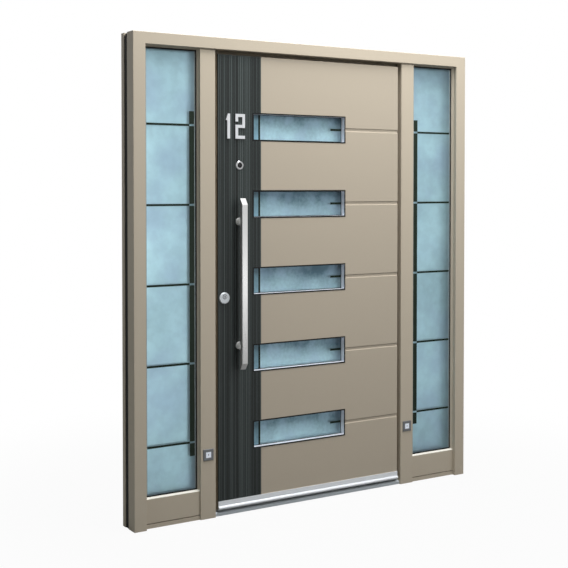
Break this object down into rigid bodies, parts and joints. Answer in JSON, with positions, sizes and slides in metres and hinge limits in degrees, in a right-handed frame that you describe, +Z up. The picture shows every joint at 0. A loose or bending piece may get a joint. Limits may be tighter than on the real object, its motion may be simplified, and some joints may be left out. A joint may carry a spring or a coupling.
{
  "type": "front door with sidelights",
  "caption": "Aluminium front door set: an inward-opening leaf with slot windows and a pull bar, between fixed glazed sidelights in one frame.",
  "frame": {"origin": "middle of the threshold's underside, halfway through the depth of the frame", "axes": "+Z up, +X to the right seen from outside, +Y from the outside to the inside"},
  "size_m": [1.815, 0.205, 2.105],
  "materials": {
    "frame_paint": "satin metallic beige paint",
    "leaf_paint": "satin metallic beige paint",
    "striped_strip": "matt charcoal with fine upright stripes",
    "mill_aluminium": "satin natural",
    "window_lining": "satin natural",
    "stainless_steel": "brushed",
    "satin_glass": "satin",
    "gasket_rubber": "matt",
    "thermal_break": "matt",
    "insulation_board": "foam",
    "spot_bezel": "satin",
    "spot_lens": "frosted",
    "viewer_lens": "polished"
  },
  "bodies": {
    "frame": {"left_jamb": "frame_paint", "right_jamb": "frame_paint", "head_rail": "frame_paint", "left_mullion": "frame_paint", "right_mullion": "frame_paint", "left_bottom_rail": "frame_paint", "right_bottom_rail": "frame_paint", "left_base_strip": "frame_paint", "right_base_strip": "frame_paint", "left_outer_bead": "frame_paint", "right_outer_bead": "frame_paint", "left_inner_bead": "frame_paint", "right_inner_bead": "frame_paint", "threshold": "mill_aluminium", "thermal_breaks": "thermal_break", "sidelight_gaskets": "gasket_rubber", "rebate_seal": "gasket_rubber", "left_sidelight_glass": "satin_glass", "right_sidelight_glass": "satin_glass", "spot_bezels": "spot_bezel", "spot_lenses": "spot_lens", "strike_plate": "stainless_steel", "frame_hinges": "stainless_steel"},
    "leaf": {"lock_stile": "frame_paint", "hinge_stile": "frame_paint", "leaf_top_rail": "frame_paint", "leaf_bottom_rail": "frame_paint", "infill_board": "insulation_board", "front_panel": "leaf_paint", "decor_panel": "striped_strip", "inner_panel": "leaf_paint", "weather_bar": "mill_aluminium", "pull_bar": "stainless_steel", "pull_bar_posts": "stainless_steel", "cylinder_rose": "stainless_steel", "lock_cylinder": "stainless_steel", "viewer_ring": "stainless_steel", "viewer_lens": "viewer_lens", "inner_roses": "stainless_steel", "inner_lever": "stainless_steel", "lock_faceplate": "stainless_steel", "leaf_hinges": "stainless_steel", "inner_window_trims": "window_lining", "window_surround_1": "window_lining", "window_glass_1": "satin_glass", "window_surround_2": "window_lining", "window_glass_2": "satin_glass", "window_surround_3": "window_lining", "window_glass_3": "satin_glass", "window_surround_4": "window_lining", "window_glass_4": "satin_glass", "window_surround_5": "window_lining", "window_glass_5": "satin_glass"}
  },
  "joints": [
    {"name": "leaf_swing", "type": "hinge", "parent": "frame", "child": "leaf", "pos_m": [0.529, 0.072, 0], "axis": [0, 0, -1], "range_deg": [0, 100]}
  ]
}
